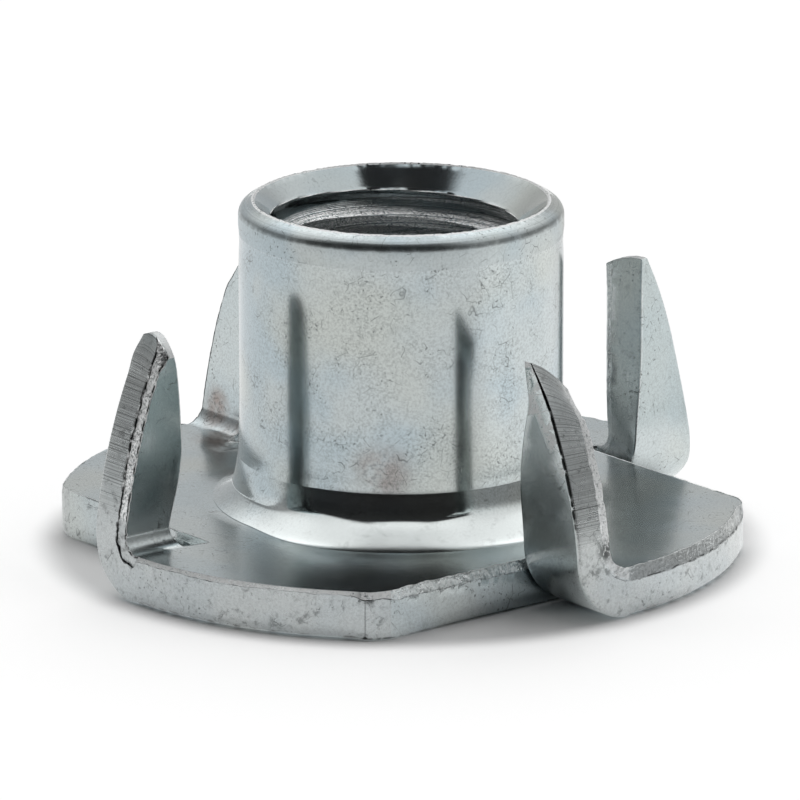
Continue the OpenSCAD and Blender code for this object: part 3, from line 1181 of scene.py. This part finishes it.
def zinc_colour(zone, pattern, marks, lip):
    """The clean zinc's tints, then the edges and the marks, with painted glints, shade and highlights.
    """
    bright = pattern.bright
    return painted(
        PALE,
        (ramp(pattern.cloud, 0.38, 0.62), COOL),
        (ramp(pattern.tint, 0.48, 0.70) * 0.8, WARM),
        # Lighter on the rolled sheet, most higher up on the prongs
        (zone.rolled * (0.25 + zone.upright * 0.35), PALER),
        # Painted highlight on the foot
        (zone.foot * 0.9, FOOT_HIGHLIGHT),
        # Painted shade on two prong faces
        (ramp(zone.tarnished, 0.0, 1.0) * 0.9, SHADE_TEAL),
        (zone.stain * ramp(pattern.patch, 0.3, 0.6), RUSTY),
        (zone.sheared * 0.5, EDGE),
        (marks, STAIN),
        # Painted glints on torn metal and in the thread
        (zone.torn * zone.scored * ramp(bright, 0.40, 0.52), GLINT_WHITE),
        (zone.tapped * ramp(pattern.turns, 0.40, 0.48) * ramp(bright, 0.34, 0.48), GLINT_WHITE),
        # Painted shade along the seams
        (ramp(zone.cracked, 0.25, 0.7), SEAM_SHADE),
        (lip, GLINT_WHITE),
        # Painted shade of a pit
        (ramp(pattern.crumbs, 0.34, 0.50) * zone.pit, STAIN))


def zinc_roughness(zone, pattern, lip):
    """Smoothest where the tools turned it, and roughest on torn metal and under the painted glints."""
    dull = 0.08 + zone.drawn * ramp(zone.z, sheet_t + 0.9, sheet_t + 1.5) * 0.08 + zone.rolled * 0.12
    dull = dull + ramp(pattern.patch, 0.35, 0.7) * 0.04 + zone.rounded * 0.24
    return dull + zone.sheared * 0.06 + zone.torn * 0.04 + zone.tapped * 0.02 + lip * 0.55


def zinc_relief(zone, pattern, marks):
    """The height of the finest relief, in mm."""
    relief = pattern.grit * 0.0006 + pattern.patch * 0.0025 + pattern.rings * zone.land * 0.004
    relief = relief - marks * (1.0 - zone.turned) * 0.0015
    relief = relief + pattern.strokes * zone.stroked * zone.sheared * 0.006
    relief = relief + pattern.crumbs * zone.torn * 0.034 + pattern.mottle * zone.sheared * 0.006
    return relief + (pattern.turns * 0.024 + pattern.bright * 0.030) * zone.tapped


def paint_zinc():
    graph = new_graph(zinc)
    where = graph.wire("ShaderNodeVectorMath", {"operation": "SCALE"}, {
        0: graph.wire("ShaderNodeTexCoord", output="Object"), "Scale": 1 / MM})
    zone = zones_of_nut(where)
    pattern = patterns_of_zinc(where, zone)
    marks = dark_marks(zone, pattern)
    # Where the painted glints lie: burrs, tips, torn metal, crests and a facet
    lip = ramp(zone.burred, 0.35, 0.7) * ramp(pattern.bright, 0.34, 0.46)
    relief = zinc_relief(zone, pattern, marks)
    bump = graph.wire("ShaderNodeBump", None, {"Strength": 1.0, "Distance": MM, "Height": relief})
    metal = graph.wire("ShaderNodeBsdfPrincipled", None, {
        "Base Color": zinc_colour(zone, pattern, marks, lip), "Metallic": 1.0,
        "Roughness": zinc_roughness(zone, pattern, lip), "Normal": bump})
    graph.node("ShaderNodeOutputMaterial", None, {"Surface": metal})
    print(f"zinc of {len(graph.nodes)} nodes")


paint_zinc()

# %% [markdown]
# ## Floor and light
#
# A white sweep in a light tent, open at the front. The dark room in front of
# the tent is what gives the polished metal its black reflections. The tent is
# lit from above, so it is brightest overhead and dimmer near the floor. The
# paper has a little white of its own for the camera and for mirrors. It fades
# out under the nut, which paints a shadow round it, and mirrors also see a
# painted pool of light on the paper to the right.

# %% Floor and world
# How bright the tent is: low at the sides and behind, half way up, and overhead
TENT = {"side": 0.36, "back": 0.61, "high side": 0.95, "high back": 1.7, "top": 1.12}
ROOM = 0.03
# Where each part of the tent and its opening begins and is full, in degrees
FADES = {"opening left": (-92, -74), "opening right": (43, 52), "opening top": (77, 83),
         "below": (14, 50), "above": (38, 62), "overhead": (60, 76), "behind": (110, 155),
         "right from": (48, 62), "right to": (120, 145)}
right_edge_lean = 22
# The floor in metres, the white it adds for the camera and for mirrors, and a painted pool of light
# that mirrors see to the right
floor_half = 1.5
floor_gap = 0.01 * MM
PAPER = (0.96, 0.96, 0.96, 1)
own_white, mirrored_white, right_painted_light = 0.41, 0.39, 0.24


def soft_step(value, low, high):
    """0 below low, 1 above high, and smooth between them. Degrees."""
    return ramp(value, math.radians(low), math.radians(high))


def mixed(factor, first, second):
    """A value between two others, as far as the factor says."""
    return first * (1.0 - factor) + second * factor


def light_world():
    world = bpy.data.worlds.new("light_tent")
    graph = new_graph(world)
    x, y, z = graph.xyz(graph.wire("ShaderNodeTexCoord", output="Generated"))
    azimuth = x.math("ARCTAN2", 0.0 - y)
    height = z.math("ARCSINE")
    leaning = azimuth - soft_step(height, *FADES["above"]) * math.radians(right_edge_lean)
    opening = soft_step(azimuth, *FADES["opening left"])
    opening = opening * (1.0 - soft_step(leaning, *FADES["opening right"]))
    opening = opening * (1.0 - soft_step(height, *FADES["opening top"]))
    behind = soft_step(azimuth.math("ABSOLUTE"), *FADES["behind"])
    low_level = mixed(behind, TENT["side"], TENT["back"])
    high_level = mixed(behind, TENT["high side"], TENT["high back"])
    level = mixed(soft_step(height, *FADES["below"]), low_level, high_level)
    level = mixed(soft_step(height, *FADES["overhead"]), level, TENT["top"])
    level = mixed(opening, level, ROOM)
    glow = graph.wire("ShaderNodeBackground", None, {"Color": (1, 1, 1, 1), "Strength": level})
    graph.node("ShaderNodeOutputWorld", None, {"Surface": glow})
    bpy.context.scene.world = world


def paint_paper(paper):
    graph = new_graph(paper)
    seen, glossy, passed = (graph.wire("ShaderNodeLightPath", output=f"Is {kind} Ray")
                            for kind in ("Camera", "Glossy", "Transmission"))
    x, y, _ = graph.xyz(graph.wire("ShaderNodeTexCoord", output="Object"))
    away = (x * x + y * y).math("SQRT") / (flange_r * MM)
    azimuth = x.math("ARCTAN2", 0.0 - y)
    right = soft_step(azimuth, *FADES["right from"]) * (1.0 - soft_step(azimuth, *FADES["right to"]))
    # Mirrors see the white fade out near the nut, a painted shadow, and a painted pool of light to the
    # right
    mirrored = (glossy + passed) * ramp(away, 0.80, 1.0) * (mirrored_white + right * right_painted_light)
    # The camera sees the white fade out near the nut: a painted shadow round it
    white = strongest(seen * ramp(away, 0.97, 1.1) * own_white, mirrored)
    shade = graph.wire("ShaderNodeCombineXYZ", None, [white, white, white])
    body = graph.wire("ShaderNodeBsdfPrincipled", None, {
        "Base Color": PAPER, "Roughness": 0.9, "Specular IOR Level": 0.0,
        "Emission Color": shade, "Emission Strength": 1.0})
    graph.node("ShaderNodeOutputMaterial", None, {"Surface": body})


def lay_floor():
    mesh = bpy.data.meshes.new("floor")
    sides = ((-1, -1), (1, -1), (1, 1), (-1, 1))
    corners = [(x * floor_half, y * floor_half, -floor_gap) for x, y in sides]
    mesh.from_pydata(corners, [], [(0, 1, 2, 3)])
    floor = add_object("floor", mesh)
    paper = bpy.data.materials.new("white_paper")
    paint_paper(paper)
    mesh.materials.append(paper)


light_world()
lay_floor()
bpy.context.scene.view_settings.view_transform = "Standard"
print(f"tent overhead {TENT['top']:.2f}, floor {2 * floor_half:.0f} m wide")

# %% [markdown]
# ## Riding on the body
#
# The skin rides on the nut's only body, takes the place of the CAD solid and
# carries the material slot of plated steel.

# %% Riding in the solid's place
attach(nut, "root")
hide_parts("tee_nut")
